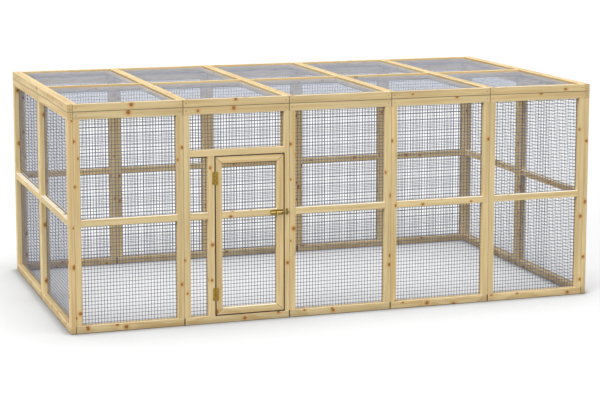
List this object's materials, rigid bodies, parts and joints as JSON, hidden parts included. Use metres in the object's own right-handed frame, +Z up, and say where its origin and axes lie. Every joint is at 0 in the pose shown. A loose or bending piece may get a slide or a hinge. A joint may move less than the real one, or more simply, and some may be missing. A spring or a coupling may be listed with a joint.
{
  "type": "outdoor aviary",
  "caption": "Walk-in outdoor aviary of pine frames and welded wire mesh, with a hinged mesh door and sliding bolt.",
  "frame": {"origin": "centre of the bounding box at the ground, under the aviary", "axes": "+X to the right along the front wall, +Y from the front wall with the door to the back wall, +Z up"},
  "size_m": [4.659, 2.6404, 1.892],
  "materials": {
    "frame_timber": "planed pale pine, bare, with brown knots",
    "batten_timber": "planed pale pine battens, bare",
    "wire_mesh": "galvanised welded wire, dull grey",
    "brass_plate": "brassed steel plate, satin",
    "bright_brass": "polished brass",
    "brass_screw": "brassed countersunk screws"
  },
  "bodies": {
    "aviary": {"front_panel_1_frame": "frame_timber", "front_panel_2_frame": "frame_timber", "front_panel_3_frame": "frame_timber", "front_panel_4_frame": "frame_timber", "front_panel_5_frame": "frame_timber", "back_panel_1_frame": "frame_timber", "back_panel_2_frame": "frame_timber", "back_panel_3_frame": "frame_timber", "back_panel_4_frame": "frame_timber", "back_panel_5_frame": "frame_timber", "left_front_panel_frame": "frame_timber", "left_back_panel_frame": "frame_timber", "right_front_panel_frame": "frame_timber", "right_back_panel_frame": "frame_timber", "roof_panel_1_frame": "frame_timber", "roof_panel_2_frame": "frame_timber", "roof_panel_3_frame": "frame_timber", "roof_panel_4_frame": "frame_timber", "roof_panel_5_frame": "frame_timber", "left_roof_rails": "frame_timber", "right_roof_rails": "frame_timber", "front_panel_1_mesh": "wire_mesh", "front_panel_2_mesh": "wire_mesh", "front_panel_3_mesh": "wire_mesh", "front_panel_4_mesh": "wire_mesh", "front_panel_5_mesh": "wire_mesh", "back_panel_1_mesh": "wire_mesh", "back_panel_2_mesh": "wire_mesh", "back_panel_3_mesh": "wire_mesh", "back_panel_4_mesh": "wire_mesh", "back_panel_5_mesh": "wire_mesh", "roof_panel_1_mesh": "wire_mesh", "roof_panel_2_mesh": "wire_mesh", "roof_panel_3_mesh": "wire_mesh", "roof_panel_4_mesh": "wire_mesh", "roof_panel_5_mesh": "wire_mesh", "left_front_panel_mesh": "wire_mesh", "left_back_panel_mesh": "wire_mesh", "right_front_panel_mesh": "wire_mesh", "right_back_panel_mesh": "wire_mesh", "front_wall_battens": "batten_timber", "back_wall_battens": "batten_timber", "left_wall_battens": "batten_timber", "right_wall_battens": "batten_timber", "roof_mesh_supports": "batten_timber", "hinge_frame_leaves": "brass_plate", "hinge_pins": "bright_brass", "bolt_keeper": "brass_plate", "frame_hardware_screws": "brass_screw"},
    "door": {"door_hinge_stile": "frame_timber", "door_lock_stile": "frame_timber", "door_top_rail": "frame_timber", "door_mid_rail": "frame_timber", "door_bottom_rail": "frame_timber", "door_mesh": "wire_mesh", "door_battens": "batten_timber", "hinge_door_leaves": "brass_plate", "bolt_plate": "brass_plate", "door_hardware_screws": "brass_screw"},
    "bolt": {"bolt_rod": "bright_brass"}
  },
  "joints": [
    {"name": "door_hinge", "type": "hinge", "parent": "aviary", "child": "door", "pos_m": [-1.1035, -1.30476, 0], "axis": [0, 0, -1], "range_deg": [0, 170]},
    {"name": "bolt_slide", "type": "slide", "parent": "door", "child": "bolt", "axis": [1, 0, 0], "range_m": [0, 0.034]}
  ]
}
